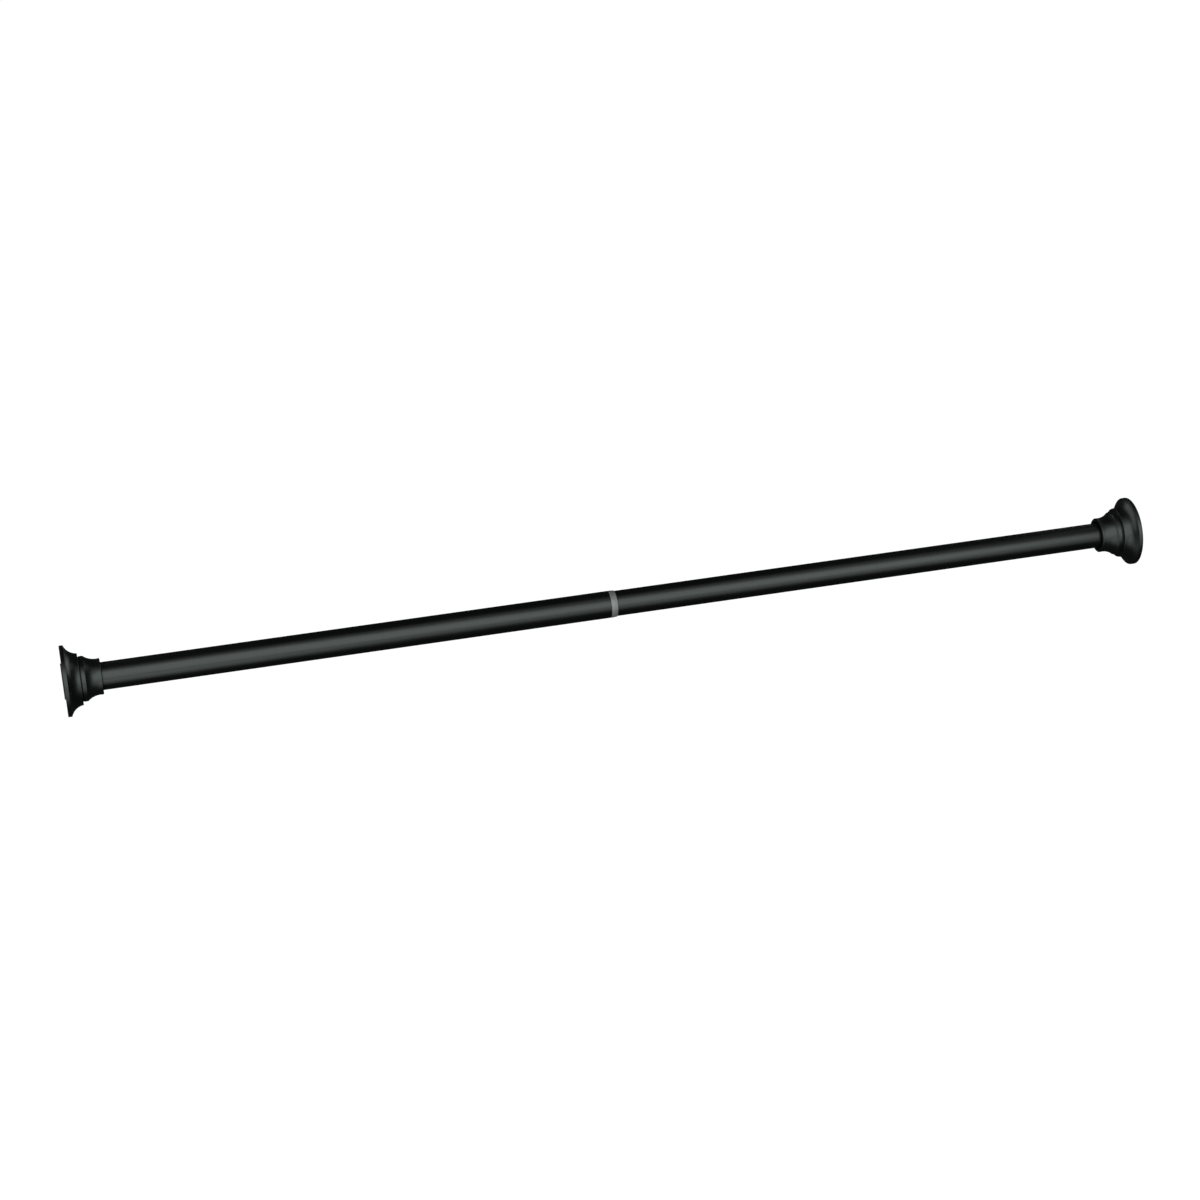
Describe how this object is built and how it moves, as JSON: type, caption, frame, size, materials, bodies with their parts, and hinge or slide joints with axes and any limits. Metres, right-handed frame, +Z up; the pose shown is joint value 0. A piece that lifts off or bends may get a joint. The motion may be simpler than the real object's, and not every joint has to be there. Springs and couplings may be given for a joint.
{
  "type": "spring tension rod",
  "caption": "Telescoping twist-lock tension rod: two satin black tubes, grey mouth ring, inner spring and cam, rubber feet and stepped sliding end covers, wedged between facing walls.",
  "frame": {"origin": "centre of the left foot's wall face", "axes": "+X along the rod, from the left foot to the right one; +Z up; -X points into the left wall"},
  "size_m": [1.027, 0.0648, 0.0648],
  "materials": {
    "coated_steel": "satin black powder coat on thin steel tube",
    "cover_plastic": "satin black moulded plastic",
    "grey_plastic": "satin mid grey moulded plastic",
    "foot_rubber": "matt black rubber",
    "grip_rubber": "matt black rubber",
    "white_nylon": "natural nylon",
    "cam_nylon": "natural nylon",
    "plated_steel": "bright zinc plate",
    "spring_steel": "oiled spring wire"
  },
  "bodies": {
    "outer_section": {"outer_tube": "coated_steel", "trim_ring": "grey_plastic", "left_end_plug": "white_nylon", "left_foot": "foot_rubber"},
    "left_grip": {"left_grip_ring": "grip_rubber"},
    "left_cover": {"left_cap": "cover_plastic"},
    "glide": {"glide_ring": "white_nylon"},
    "spindle": {"lock_spindle": "plated_steel", "cam_washer": "plated_steel", "cam_screw": "plated_steel", "spring_washer": "white_nylon", "tension_spring": "spring_steel", "stop_washer": "plated_steel", "stop_nut": "plated_steel"},
    "cam": {"lock_cam": "cam_nylon"},
    "inner_section": {"inner_tube": "coated_steel", "spring_seat": "white_nylon", "right_end_plug": "white_nylon", "right_foot": "foot_rubber"},
    "right_grip": {"right_grip_ring": "grip_rubber"},
    "right_cover": {"right_cap": "cover_plastic"}
  },
  "joints": [
    {"name": "telescope", "type": "slide", "parent": "outer_section", "child": "glide", "axis": [1, 0, 0], "range_m": [-0.366, 0.04]},
    {"name": "twist", "type": "hinge", "parent": "glide", "child": "spindle", "pos_m": [0.40715, 0, 0], "axis": [1, 0, 0], "range_deg": [-20, 20]},
    {"name": "cam_turn", "type": "hinge", "parent": "spindle", "child": "cam", "pos_m": [0.39605, 0, 0.0011], "axis": [1, 0, 0], "range_deg": [-20, 20]},
    {"name": "press_in", "type": "slide", "parent": "spindle", "child": "inner_section", "axis": [1, 0, 0], "range_m": [-0.025, 0], "stiffness_N_per_m": 2200, "springref_m": 0.012, "deforming": ["tension_spring"]},
    {"name": "left_cap_slide", "type": "slide", "parent": "outer_section", "child": "left_grip", "axis": [1, 0, 0], "range_m": [0, 0.45]},
    {"name": "left_cap_turn", "type": "hinge", "parent": "left_grip", "child": "left_cover", "pos_m": [0.0291, 0, 0], "axis": [1, 0, 0], "continuous": true},
    {"name": "right_cap_slide", "type": "slide", "parent": "inner_section", "child": "right_grip", "axis": [-1, 0, 0], "range_m": [0, 0.08]},
    {"name": "right_cap_turn", "type": "hinge", "parent": "right_grip", "child": "right_cover", "pos_m": [0.9979, 0, 0], "axis": [1, 0, 0], "continuous": true}
  ],
  "couplings": [
    {"joint": "cam_turn", "follows": "twist", "ratio": -1}
  ]
}
